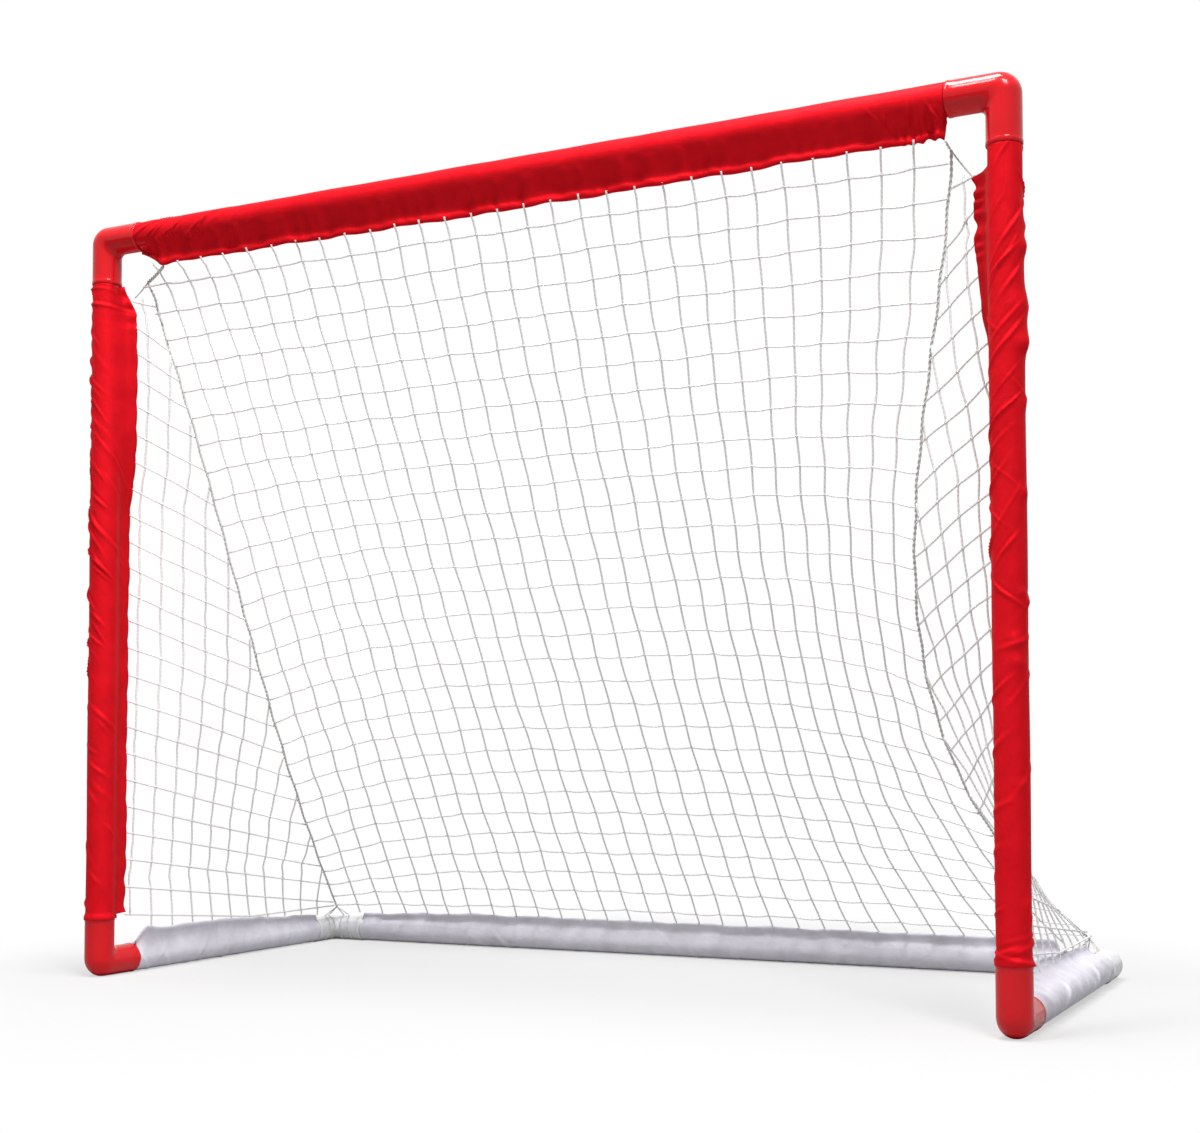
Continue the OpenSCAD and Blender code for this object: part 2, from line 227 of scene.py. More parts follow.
def square(grid, before=0):
    """The four corners of each cell of a grid, as one more axis after the grid's own two.

    before is the number of axes in front of the rows and the columns.
    """
    every, near, far = (slice(None),) * before, slice(None, -1), slice(1, None)
    turns = (near, near), (near, far), (far, far), (far, near)
    return np.stack([grid[every + turn] for turn in turns], axis=before + 2)


def skin(points, uv, closed=False):
    """Faces over a grid of points (rows, columns, 3), each row of which is a ring.

    The first and last rows join each other when closed is true. uv has one more column, and
    one more row where closed, than points.
    """
    rows, columns = points.shape[:2]
    index = np.arange(rows * columns).reshape(rows, columns)
    index = np.concatenate([index, index[:, :1]], axis=1)
    if closed:
        index = np.concatenate([index, index[:1]], axis=0)
    return points.reshape(-1, 3), [
        (square(index).reshape(-1, 4), square(uv).reshape(-1, 4, 2))
    ]


def outward(points, quads):
    """True when the faces' normals point out of the solid: their signed volume is positive."""
    p = points[quads]
    a, b = p[:, 2] - p[:, 0], p[:, 3] - p[:, 1]
    return np.einsum("ij,ij->", p.mean(axis=1), np.cross(a, b)) > 0


def piece(name, parts, material, closed=True):
    """One smooth object from parts of (points in mm, [(faces, uv), ...])."""
    points, faces, uvs, start = [], [], [], 0
    for part_points, groups in parts:
        turn = closed and not outward(part_points, groups[0][0])
        for corners, uv in groups:
            if turn:
                corners, uv = corners[:, ::-1], uv[:, ::-1]
            faces += (corners + start).tolist()
            uvs.append(uv.reshape(-1, 2))
        points.append(part_points)
        start += len(part_points)
    mesh = bpy.data.meshes.new(name)
    mesh.from_pydata((np.concatenate(points) * MM).tolist(), [], faces)
    layer = mesh.uv_layers.new(name="Surface")
    layer.data.foreach_set("uv", (np.concatenate(uvs) * MM).ravel())
    mesh.polygons.foreach_set("use_smooth", np.ones(len(faces), dtype=bool))
    mesh.materials.append(material)
    mesh.update()
    made = bpy.data.objects.new(name, mesh)
    bpy.context.scene.collection.objects.link(made)
    return made


def declare(made, node, body=None):
    """Hides the CAD node that a piece replaces and puts the piece under the body that it rides on.

    With no body the piece spans both, and stays where it is, with its place baked into its mesh.
    """
    if body:
        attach(made, body)
    else:
        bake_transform(made)
    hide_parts(node)


def cords(paths, radius, sides=6, facing=Y):
    """Tubes along many paths (k, n, 3) at once, each ring being path + r (cos a e1 + sin a e2).

    e1 and e2 stand square to the path. facing is a direction never along a path.
    """
    along = unit(np.gradient(paths, axis=1))
    e1 = unit(np.cross(along, facing))
    e2 = np.cross(along, e1)
    angle = TAU * np.arange(sides) / sides
    radius = np.broadcast_to(radius, paths.shape[:2])[:, :, None, None]
    ring = (
        np.cos(angle)[:, None] * e1[:, :, None] + np.sin(angle)[:, None] * e2[:, :, None]
    ) * radius
    points = paths[:, :, None] + ring
    k, n = paths.shape[:2]
    index = np.arange(k * n * sides).reshape(k, n, sides)
    index = np.concatenate([index, index[:, :, :1]], axis=2)
    run = np.linalg.norm(np.diff(paths, axis=1), axis=2)
    run = np.concatenate([np.zeros((k, 1)), np.cumsum(run, axis=1)], axis=1)
    uv = np.stack(np.broadcast_arrays(
        (np.arange(sides + 1) / sides * TAU * radius.mean())[None, None, :], run[:, :, None]
    ), axis=-1)
    ends = np.concatenate([index[:, 0, :sides][:, ::-1], index[:, -1, :sides]])
    return points.reshape(-1, 3), [
        (square(index, 1).reshape(-1, 4), square(uv, 1).reshape(-1, 4, 2)),
        (ends, np.zeros(ends.shape + (2,))),
    ]


def lumps(places, along, across, stretch):
    """Small knots at places (k, 3): ellipsoids with the grooves of a wrapped twine.

    A point is (cos v cos u, cos v sin u, sin v) stretched on the three axes, with its radius
    1 + 0.16 cos(2 u + 2 v). The poles are single points.
    """
    sides, rings = 8, 4
    normal = unit(np.cross(along, across))
    across = np.cross(normal, along)
    u = TAU * np.arange(sides) / sides
    v = np.pi * (np.arange(1, rings + 1) / (rings + 1) - 0.5)
    groove = 1 + 0.16 * np.cos(2 * u[None] + 2 * v[:, None])
    local = np.stack([
        np.cos(v)[:, None] * np.cos(u) * groove,
        np.cos(v)[:, None] * np.sin(u) * groove,
        np.sin(v)[:, None] * groove,
    ], axis=-1).reshape(-1, 3)
    local = np.concatenate([[[0, 0, -1]], local, [[0, 0, 1]]]) * stretch
    basis = np.stack([along, across, normal], axis=1)
    points = places[:, None] + np.einsum("vi,kij->kvj", local, basis)
    index = np.arange(rings * sides).reshape(rings, sides) + 1
    index = np.concatenate([index, index[:, :1]], axis=1)
    quads = square(index).reshape(-1, 4)
    low = np.stack([np.zeros(sides, int), index[0, 1:], index[0, :-1]], axis=1)
    top = np.stack([np.full(sides, rings * sides + 1), index[-1, :-1], index[-1, 1:]], axis=1)
    start = np.arange(len(places))[:, None, None] * len(local)
    groups = []
    for faces in (quads, low, top):
        every = (faces[None] + start).reshape(-1, faces.shape[1])
        groups.append((every, np.zeros(every.shape + (2,))))
    return points.reshape(-1, 3), groups


# ---------- Materials ----------

def add(tree, kind, inputs=None, **settings):
    """Adds a shader node with its settings. An input is linked when it is given a socket."""
    node = tree.nodes.new(kind)
    for key, value in settings.items():
        setattr(node, key, value)
    for key, value in (inputs or {}).items():
        if isinstance(value, bpy.types.NodeSocket):
            tree.links.new(value, node.inputs[key])
        else:
            node.inputs[key].default_value = value
    return node


def bare_tree(owner):
    """The node tree of a material or a world, emptied."""
    owner.use_nodes = True
    owner.node_tree.nodes.clear()
    return owner.node_tree


def new_material(name):
    """A new material and its empty tree."""
    material = bpy.data.materials.new(name)
    return material, bare_tree(material)


def surfaced(material, tree, inputs):
    """The material, given a Principled shader with these inputs."""
    shader = add(tree, "ShaderNodeBsdfPrincipled", inputs)
    add(tree, "ShaderNodeOutputMaterial", {"Surface": shader.outputs["BSDF"]})
    return material


def noise(tree, place, mm, detail, **more):
    """A noise texture with features about mm across, and more of its inputs by name."""
    return add(tree, "ShaderNodeTexNoise", {
        "Vector": place, "Scale": 1 / (mm * MM), "Detail": detail, **more,
    }).outputs["Fac"]


def waves(tree, uv, mm, bands, distortion):
    """A wave texture that repeats every mm millimetres: its period is pi / (10 scale)."""
    return add(tree, "ShaderNodeTexWave", {
        "Vector": uv, "Scale": np.pi / (10 * mm * MM), "Distortion": distortion,
    }, bands_direction=bands).outputs["Fac"]


def bump(tree, height, strength, mm, **more):
    """The normal after a relief mm deep, over another normal when one is given."""
    return add(tree, "ShaderNodeBump", {
        "Height": height, "Strength": strength, "Distance": mm * MM, **more,
    }).outputs["Normal"]


def between(tree, value, low, high, first=0.0, last=1.0, **settings):
    """The value spread from first to last over low to high."""
    return add(tree, "ShaderNodeMapRange", {
        "Value": value, "From Min": first, "From Max": last, "To Min": low, "To Max": high,
    }, **settings).outputs["Result"]


def toned(tree, base, value):
    """The base colour with its brightness times value."""
    return add(tree, "ShaderNodeHueSaturation", {"Color": base, "Value": value}).outputs["Color"]


def varied(tree, vector, base, low, high, size_mm, detail):
    """The base colour, with its value drifting between low and high in patches of size_mm."""
    drift = noise(tree, vector, size_mm, detail)
    return toned(tree, base, between(tree, drift, low, high, 0.3, 0.7))


def moulded_pvc(name, base, roughness, coat=0.12):
    """Moulded gloss PVC: bright even colour, clear streaks of light, a faint orange peel and
    soft scuffs where it has been handled."""
    material, tree = new_material(name)
    place = add(tree, "ShaderNodeTexCoord").outputs["Object"]
    scuff = noise(tree, place, 18, 6, Roughness=0.7)
    return surfaced(material, tree, {
        "Base Color": varied(tree, place, base, 0.93, 1.03, 45, 3),
        "Roughness": between(tree, scuff, roughness * 0.75, roughness * 1.7, 0.35, 0.75),
        "IOR": 1.5, "Specular IOR Level": 0.2, "Coat Weight": coat, "Coat Roughness": 0.08,
        "Normal": bump(tree, noise(tree, place, 5, 2), 0.25, 0.15),
    })


def matte_pvc(name, base):
    """Extruded matte PVC: an even colour and a broad dull shine with no clear streaks."""
    return moulded_pvc(name, base, 0.45, 0)


def woven_nylon(name, base, gleam, roughness, crinkle):
    """Woven nylon taffeta: a satin gleam on the stretched parts, a fine plain weave and small
    crinkles between the folds. Its threads are 0.3 mm apart, and are drawn wider so that
    they show."""
    material, tree = new_material(name)
    uv = add(tree, "ShaderNodeTexCoord").outputs["UV"]
    place = add(tree, "ShaderNodeTexCoord").outputs["Object"]
    thread = 1.1
    weave = add(tree, "ShaderNodeMath", {
        0: waves(tree, uv, thread, "X", 0.4), 1: waves(tree, uv, thread, "Y", 0.4),
    }, operation="MAXIMUM").outputs["Value"]
    crinkles = noise(tree, place, 13, 4, Roughness=0.55, Distortion=0.8)
    # The fibres mirror a share of the light, gleam, in the cloth's own colour
    return surfaced(material, tree, {
        "Base Color": varied(tree, place, base, 0.9, 1.06, 26, 4), "Roughness": roughness,
        "Metallic": gleam, "Specular IOR Level": 0.04, "Specular Tint": base,
        "Normal": bump(tree, crinkles, 0.6, crinkle, Normal=bump(tree, weave, 0.35, 0.12)),
    })


def twisted_twine(name, base, lay):
    """Twisted polyester twine: matt and pale, with turned strands lay millimetres apart, and
    painted shade that darkens the grooves between them."""
    material, tree = new_material(name)
    strands = waves(tree, add(tree, "ShaderNodeTexCoord").outputs["UV"], lay, "DIAGONAL", 0.3)
    return surfaced(material, tree, {
        # Painted shade and highlight: the colour falls to 0.86 in the grooves between the strands
        # and rises to 1.04 on their crests
        "Base Color": toned(tree, base, between(tree, strands, 0.86, 1.04)),
        "Roughness": 0.7, "Normal": bump(tree, strands, 0.4, 0.15),
    })


def finish_of(key):
    """The goal's materials, each made once."""
    makers = {
        "red_pvc": lambda n: moulded_pvc(n, shade("elbow_red"), 0.17),
        "white_pvc": lambda n: moulded_pvc(n, shade("elbow_white"), 0.2),
        "grey_pvc": lambda n: matte_pvc(n, shade("cord")),
        "red_nylon": lambda n: woven_nylon(n, shade("cloth_red"), 0.2, 0.45, 1.0),
        "white_nylon": lambda n: woven_nylon(n, shade("cloth_white"), 0.0, 0.6, 1.4),
        "polyester_twine": lambda n: twisted_twine(n, shade("twine"), 3.0),
        "polyester_cord": lambda n: twisted_twine(n, shade("cord"), 4.0),
    }
    return bpy.data.materials.get(key) or makers[key](key)


# ---------- Elbows ----------

def elbow_shell(corner, first, second):
    """An elbow of one closed shell, between the arms along first and second from corner.

    Round the pipe at angle a, a line lies q = r cos a from the axis towards the inner corner
    and r sin a to the side. It runs straight down one arm, turns on an arc of radius c - q
    about (c, c), and runs straight down the other. c is the bend's radius, or q and the inner
    fillet where that is more. The mouths have a rounded collar 0.5 mm proud. Nothing lies
    below the floor, so a foot has a narrow flat under it.
    """
    side = np.cross(first, second)
    around, bend = 72, 6.0
    wall = ELBOW_R - TUBE_R - 0.05
    angle = TAU * np.arange(around) / around
    fillet = size("inner_fillet")
    # How far each ring of the collar is from the mouth, and how far it stands proud
    drops = np.array([0.0, 0.5, 1.6, 5.2, 6.2, 7.0])
    prouds = np.array([-0.9, -0.1, 0.5, 0.5, 0.1, 0.0])

    def lines(radius, collar):
        """Rings from mouth to mouth: the distance along each arm, and to the side."""
        q, beside = radius * np.cos(angle), radius * np.sin(angle)
        c = np.maximum(bend, q + fillet)
        arm = [
            (ELBOW_ARM - drop + 0 * angle, (radius + proud) * np.cos(angle),
             (radius + proud) * np.sin(angle))
            for drop, proud in zip(drops, prouds * collar)
        ]
        arm += [
            (mix(ELBOW_ARM - drops[-1], c, t), q, beside) for t in np.linspace(0, 1, 7)[1:-1]
        ]
        turned = [
            (c - (c - q) * np.sin(t), c - (c - q) * np.cos(t), beside)
            for t in np.linspace(0, np.pi / 2, 15)
        ]
        other = [(b, a, s) for a, b, s in arm[::-1]]
        return np.array(arm + turned + other).transpose(0, 2, 1)

    grid = np.concatenate([lines(ELBOW_R, 1.0), lines(ELBOW_R - wall, 0.0)[::-1]])
    points = corner + grid[..., :1] * first + grid[..., 1:2] * second + grid[..., 2:] * side
    points[..., 2] = np.maximum(points[..., 2], 0)
    rows, columns = points.shape[:2]
    return skin(points, np.zeros((rows + 1, columns + 1, 2)), closed=True)


class GOAL_OT_elbows(bpy.types.Operator):
    """Make the six push-fit elbows"""

    bl_idname = "goal.elbows"
    bl_label = "Elbows"

    def execute(self, context):
        for side, hand in SIDES:
            inward = -side * X
            x = side * POST_X
            for node, corner, first, second, tone, body in (
                (f"top_{hand}_elbow", (x, FRONT_Y, BAR_Z), inward, -Z, "red", "front_frame"),
                (f"{hand}_foot_elbow", (x, FRONT_Y, FLOOR_Z), Y, Z, "red", "front_frame"),
                (f"rear_{hand}_elbow", (x, REAR_Y, FLOOR_Z), inward, -Y, "white", "base_frame"),
            ):
                shell = elbow_shell(np.array(corner), first, second)
                made = piece("moulded_" + node, [shell], finish_of(tone + "_pvc"))
                declare(made, node, body)
        return {"FINISHED"}


# ---------- Tubes ----------

class GOAL_OT_tubes(bpy.types.Operator):
    """Give the tubes and couplers of the frame their finish"""

    bl_idname = "goal.tubes"
    bl_label = "Tubes"

    def execute(self, context):
        finishes = {
            "red_pvc": ("crossbar_left_half", "crossbar_right_half", "left_post", "right_post"),
            "white_pvc": ("left_side_rail", "right_side_rail", "rear_rail_left_half",
                          "rear_rail_right_half"),
            "grey_pvc": ("crossbar_coupler", "rear_rail_coupler"),
        }
        for finish, nodes in finishes.items():
            for node in nodes:
                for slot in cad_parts[node].material_slots:
                    slot.material = finish_of(finish)
        return {"FINISHED"}


# ---------- Sleeves ----------

def sleeve_outline(flange, leave, thick):
    """The section of a sleeve, from the hem's front round the tube to the hem's back.

    The cloth leaves the tube at the angle leave from the hem's direction, and its two layers
    run together along a cubic curve to a flat hem, thicker by thick. Returned as points
    (a towards the hem, b to the front), their outward directions, how far along the flange
    each one is, and the length round to it.
    """
    start = CLOTH_R * np.array([np.cos(leave), np.sin(leave)])
    tip = CLOTH_R + flange
    end = np.array([tip - HEM, LAYER_GAP])
    reach = np.linalg.norm(end - start)
    pull = start + 0.4 * reach * np.array([np.sin(leave), -np.cos(leave)])
    come = end - np.array([0.35 * reach, -0.6])
    t = np.linspace(0, 1, 12)[1:, None]
    web = (
        (1 - t) ** 3 * start + 3 * t * (1 - t) ** 2 * pull + 3 * t * t * (1 - t) * come
        + t ** 3 * end
    )
    edge = np.array([
        [end[0] + 0.6, LAYER_GAP + thick], [end[0] + HEM / 2, LAYER_GAP + thick],
        [tip, LAYER_GAP + 0.7 * thick],
    ])
    layer = np.concatenate([web, edge])
    angle = np.linspace(leave, TAU - leave, 42)
    arc = CLOTH_R * np.stack([np.cos(angle), np.sin(angle)], axis=1)
    section = np.concatenate([layer[::-1], arc, layer * np.array([1, -1])])
    f = (layer[:, 0] - start[0]) / (tip - start[0])
    along = np.concatenate([f[::-1], 0 * angle, f])
    step = np.gradient(section, axis=0)
    normal = unit(np.stack([step[:, 1], -step[:, 0]], axis=1))
    round_to = np.concatenate([[0], np.cumsum(np.linalg.norm(np.diff(section, axis=0), axis=1))])
    return section, normal, along, round_to


def creases(l, v, seed, count, span, slope, height, width, reach, middle=(-45, 45)):
    """Sum of count folds: h (exp(-|d / w|^1.4) - 0.4 exp(-((d - 1.8 w) / w)^2)) times
    exp(-((v - v0) / r)^2), where d is the distance along the sleeve from a line
    l = l0 + k (v - v0) that bends a little. Each is a ridge with a dip beside it.

    l0 is drawn evenly over span, v0 from middle, k from slope, and h, w and r around height,
    width and reach."""
    draw = np.random.default_rng(seed)
    total = np.zeros(np.broadcast(l, v).shape)
    for i in range(count):
        l0 = mix(*span, (i + draw.uniform(-0.2, 1.2)) / count)
        v0 = draw.uniform(*middle)
        k = draw.uniform(*slope)
        w = draw.uniform(0.6, 1.5) * width
        h = draw.uniform(0.35, 1.0) * height
        bent = draw.uniform(-0.006, 0.006)
        r = draw.uniform(0.5, 1.2) * reach
        d = l - l0 - k * (v - v0) - bent * (v - v0) ** 2
        fold = np.exp(-np.abs(d / w) ** 1.4) - 0.4 * np.exp(-((d - 1.8 * w) / w) ** 2)
        total += h * fold * np.exp(-((v - v0) / r) ** 2)
    return total


def bulges(l, v, seed, count, span, place, height, width):
    """Sum of count round bulges h exp(-((l - l0)^2 + (v - v0)^2) / w^2)."""
    draw = np.random.default_rng(seed)
    total = np.zeros(np.broadcast(l, v).shape)
    for _ in range(count):
        l0, v0 = draw.uniform(*span), draw.uniform(*place)
        h, w = draw.uniform(0.5, 1) * height, draw.uniform(0.7, 1.4) * width
        total += h * np.exp(-((l - l0) ** 2 + (v - v0) ** 2) / w ** 2)
    return total


def make_sleeve(name, origin, axis, hem, l, flange, puff, sway, material, leave, thick=0.0,
                pleat=0.0):
    """A cloth sleeve round a tube, with a double flange.

    The point at length l and place v round the section is
    origin + l axis + (a + n_a puff) hem + (b + n_b puff + sway f + 4 pleat f (1 - f)) front,
    where (a, b) is the section with its flange stretched to flange(l), (n_a, n_b) its outward
    direction and f how far along the flange it lies. hem is one direction, or one for each
    length, so that the flange can turn round the tube.
    """
    hem = np.broadcast_to(hem, (len(l), 3))[:, None]
    front = np.cross(hem, axis)
    full = float(np.median(flange))
    section, normal, along, round_to = sleeve_outline(full, leave, thick)
    v = round_to - round_to[-1] / 2
    out = puff(l[:, None], v[None])
    a = section[:, 0] + normal[:, 0] * out + along * (flange - full)[:, None]
    swing = along * sway[:, None] + 4 * along * (1 - along) * np.atleast_1d(pleat)[:, None]
    b = section[:, 1] + normal[:, 1] * out + swing
    points = origin + l[:, None, None] * axis + a[..., None] * hem + b[..., None] * front
    points[..., 2] = np.maximum(points[..., 2], CLOTH_CLEAR)
    uv = np.stack(np.broadcast_arrays(
        np.append(round_to, round_to[-1] + 1)[None], l[:, None]), axis=-1)
    made = piece(name, [skin(points, uv)], material)
    solid = made.modifiers.new("Cloth", "SOLIDIFY")
    solid.thickness = size("cloth") * MM
    solid.offset = 0
    return made


def ramp(l, start, rise, end, fall, full=RED_FLANGE):
    """Reach of a flange at l: least outside start to end, full inside, with sloped ends."""
    up = np.clip((l - start) / rise, 0, 1)
    down = np.clip((end - l) / fall, 0, 1)
    return mix(LEAST_FLANGE, full, np.minimum(up, down))


def bar_flange(l):
    """The crossbar's flange at l: its reach beyond the tube, cut across at its left end, how
    far it sways forward, in waves of 80 to 200 mm and pleats 12 mm apart at the right end,
    and how deep it is pleated half way down, in folds about 50 and 20 mm apart."""
    half = BAR_SLEEVE_END
    flange = ramp(l, -half + 2, 36, half - 1, 3) + 0.8 * np.sin(l / 17) + 0.5 * np.sin(l / 7.3 + 1)
    flange += 2.5 * smooth(half, 0, np.abs(l)) + 4 * np.exp(-((l + half - 38) / 14) ** 2)
    ragged = smooth(half - 60, half - 5, l)
    flange += ragged * (1.5 * np.sin(l / 2.1) + 1.2 * np.sin(l / 4.7 + 1))
    sway = 1.6 * np.sin(l / 31) + 0.9 * np.sin(l / 12.7 + 2)
    sway += 2.4 * smooth(half - 75, half - 20, l) * np.sin(l / 1.9 + np.sin(l / 11))
    sway += 1.6 * smooth(-half + 70, -half + 20, l) * np.sin(l / 3.1)
    pleat = 2.6 * np.sin(l / 8.3 + 1.6 * np.sin(l / 37)) * (0.55 + 0.45 * np.sin(l / 83))
    pleat += 0.8 * np.sin(l / 3.7 + 2 * np.sin(l / 23))
    return flange, sway, pleat


def bar_folds(l, v, tall):
    """Creases that fan out from the crossbar's left end, folds across the flange at its right
    end, and a little slack between them."""
    half = BAR_SLEEVE_END
    left = creases(l, v, 11, 24, (-half, -half + 210), (0.8, 2.4), tall * 1.2, 2.0, 20,
                   (-58, -18)) * smooth(-half + 240, -half + 100, l)
    right = creases(l, v, 12, 9, (half - 80, half), (-0.9, 0.3), tall * 1.5, 2.4, 12, (-72, -50))
    loose = 0.35 * np.sin(l / 61 + v / 30) + 0.25 * np.sin(l / 23 - v / 14)
    return left + right + np.abs(loose)


class GOAL_OT_crossbar_sleeve(bpy.types.Operator):
    """Make the red sleeve of the crossbar, with its hanging flange"""

    bl_idname = "goal.crossbar_sleeve"
    bl_label = "Crossbar Sleeve"

    def execute(self, context):
        half = BAR_SLEEVE_END
        tall = size("wrinkle")
        # The rows are closest at the gathered ends
        l = np.concatenate([
            np.linspace(-half, -half + 130, 110), np.linspace(-half + 132, half - 92, 330),
            np.linspace(half - 90, half, 90),
        ])
        flange, sway, pleat = bar_flange(l)
        made = make_sleeve(
            "crossbar_satin_sleeve", np.array([0, FRONT_Y, BAR_Z]), X, -Z, l, flange,
            lambda l, v: bar_folds(l, v, tall), sway, finish_of("red_nylon"), BAR_LEAVE, 0.9,
            pleat,
        )
        declare(made, "crossbar_sleeve", "front_frame")
        return {"FINISHED"}


def post_flange(side, l):
    """Reach beyond the tube of a post's flange, scalloped between the ties of the net, and
    how far it sways. The right one has a frill near its top."""
    low, high = POST_LOW, POST_HIGH
    scallop = 1.4 * np.abs(np.cos(np.pi * l / 39.4)) - 0.7
    if side < 0:
        flange = ramp(l, low + 1, 2, high - 2, 40) + scallop + 0.5 * np.sin(l / 23)
        flange += 1.6 * np.sin(l / 6) * smooth(low + 110, low, l)
        sway = 0.9 * np.sin(l / 29) + 0.5 * np.sin(l / 11.3)
        sway += smooth(high - 90, high - 20, l) * 1.5 * np.sin(l / 3.2)
    else:
        flange = ramp(l, low + 1, 3, high - 21, 3) + scallop + 0.9 * np.sin(l / 27 + 1)
        frill = np.sin(l / 2.7 + 1.8 * np.sin(l / 8)) + 0.8 * np.sin(l / 6.1 + 2)
        flange += 1.6 * frill * smooth(high - 150, high - 90, l)
        sway = 1.3 * np.sin(l / 29 + 3) + 0.9 * np.sin(l / 11.3)
        sway += smooth(high - 160, high - 70, l) * 2.2 * np.sin(l / 2.6 + 1.7 * np.sin(l / 9))
    return flange, sway


def left_post_folds(l, v, tall):
    """Creases that run down to the right over the outer half of the left post."""
    low, high = POST_LOW, POST_HIGH
    fine = creases(l, v, 21, 34, (430, high), (0.9, 1.9), tall * 1.7, 2.3, 15, (-14, 16))
    long = creases(l, v, 22, 9, (620, high), (0.9, 1.6), tall, 3.5, 36)
    few = creases(l, v, 23, 14, (low, 430), (0.5, 1.5), tall * 0.9, 3.0, 16)
    ends = creases(l, v, 24, 4, (high - 30, high), (-0.2, 0.5), tall, 2.4, 60)
    loose = 0.5 + 0.5 * np.sin(l / 47 + v / 26)
    return np.clip(fine + long + few + ends, -1.2, 5.5) + 0.6 * loose


def right_post_folds(l, v, tall):
    """Ridges that run up to the right over the whole of the right post, and bulges on its
    outer side."""
    low, high = POST_LOW, POST_HIGH
    long = creases(l, v, 31, 16, (520, high - 10), (-1.9, -1.0), tall * 1.4, 2.6, 20, (0, 30))
    cross = creases(l, v, 32, 9, (500, high), (0.6, 1.2), tall * 1.3, 2.2, 18)
    few = creases(l, v, 33, 14, (low, 500), (-1.2, -0.3), tall * 0.9, 3.0, 20)
    ends = creases(l, v, 36, 4, (low, low + 34), (-0.5, 0.3), tall, 2.6, 60)
    lumpy = bulges(l, v, 34, 9, (low, 780), (-24, -6), 2.6, 6)
    large = bulges(l, v, 35, 5, (780, 925), (-20, -8), 4.5, 13)
    loose = 0.5 + 0.5 * np.sin(l / 43 + v / 26 + 2)
    return np.clip(long + cross + few + ends + lumpy + large, -1.2, 6) + 0.5 * loose


class GOAL_OT_post_sleeves(bpy.types.Operator):
    """Make the red sleeves of the two posts, twisted and creased"""

    bl_idname = "goal.post_sleeves"
    bl_label = "Post Sleeves"

    def execute(self, context):
        tall = size("wrinkle")
        l = np.concatenate([
            np.linspace(POST_LOW - 5, 480, 200), np.linspace(481.6, POST_HIGH, 350),
        ])
        # The lower end is pulled over the elbow's collar
        over = 2.1 * smooth(POST_LOW + 6, POST_LOW - 1, l)[:, None]
        turn = flange_turn((NET_TOP - l) / NET_HEIGHT)
        for (side, hand), folds in zip(SIDES, (left_post_folds, right_post_folds)):
            hem = np.stack([-side * np.cos(turn), np.sin(turn), 0 * l], axis=1)
            flange, sway = post_flange(side, l)
            made = make_sleeve(
                f"{hand}_post_satin_sleeve", np.array([side * POST_X, FRONT_Y, 0]), Z, hem, l,
                flange, lambda l, v: folds(l, v, tall) + over, sway, finish_of("red_nylon"),
                POST_LEAVE,
            )
            declare(made, f"{hand}_post_sleeve", "front_frame")
        return {"FINISHED"}


def base_flange(hand, l):
    """Reach of one of the base's flanges. The left one stands high at the front and low at
    the back, the right one high at the front, and the rear one low at the left."""
    flange = ramp(l, l[0], 6, l[-1], 8, WHITE_FLANGE) + 0.7 * np.sin(l / 21)
    rise = smooth(l[0] + 1, l[0] + 13, l)
    if hand == "left":
        flange += (9 * smooth(120, -60, l) + 7 * np.exp(-((l - l[0]) / 30) ** 2)) * rise
        flange -= 7 * smooth(60, l[-1], l)
    elif hand == "right":
        flange += 15 * smooth(230, -150, l) * rise
    else:
        flange -= 7 * smooth(-380, l[0] + 10, l)
    return flange


class GOAL_OT_base_sleeves(bpy.types.Operator):
    """Make the white sleeves of the base's three rails"""

    bl_idname = "goal.base_sleeves"
    bl_label = "Base Sleeves"

    def execute(self, context):
        tall = size("base_wrinkle")
        side_l = np.linspace(FRONT_Y + SLEEVE_INSET, REAR_Y - SLEEVE_INSET, 170)
        rear_l = np.linspace(-BAR_SLEEVE_END, BAR_SLEEVE_END, 360)
        # The right one is the most crumpled: its folds are higher, and 8 mm apart
        for hand, origin, axis, inward, l, seed, rough, apart in (
            ("left", (-POST_X, 0, FLOOR_Z), Y, X, side_l, 41, 0.9, 18),
            ("right", (POST_X, 0, FLOOR_Z), Y, -X, side_l, 51, 2.6, 8),
            ("rear", (0, REAR_Y, FLOOR_Z), X, -Y, rear_l, 61, 0.9, 18),
        ):
            span = (l[0], l[-1])
            many = int((span[1] - span[0]) / apart)

            def puff(l, v):
                folds = creases(l, v, seed, many, span, (-1.4, 1.4), tall * rough, 3.4, 26)
                # The cloth lies flat under the rail, where the frame stands on it
                under = smooth(4, 26, np.abs(v))
                return np.clip(folds, -1.2, 5) * under + 0.5 * under

            hem = np.sin(WHITE_LEAN) * inward + np.cos(WHITE_LEAN) * Z
            sway = 1.2 * np.sin(l / 17 + seed) + 0.8 * np.sin(l / 7.7)
            made = make_sleeve(
                f"{hand}_base_cloth", np.array(origin), axis, hem, l, base_flange(hand, l), puff,
                sway, finish_of("white_nylon"), BASE_LEAVE,
            )
            declare(made, f"{hand}_base_sleeve", "base_frame")
        return {"FINISHED"}


# ---------- The net's surface ----------

def bow(s, skew):
    """0 at both ends and 1 in the middle, leaning down by skew."""
    return 4 * s * (1 - s) * (1 + skew * (2 * s - 1))


def net_z(s):
    """Height at s."""
    return mix(NET_TOP, NET_END, s)


def mid_y(s):
    """Depth of the back net's middle, which sags forward by up to BACK_SAG."""
    return mix(FRONT_Y, REAR_Y - WHITE_IN, s) - BACK_SAG * bow(s, 0)


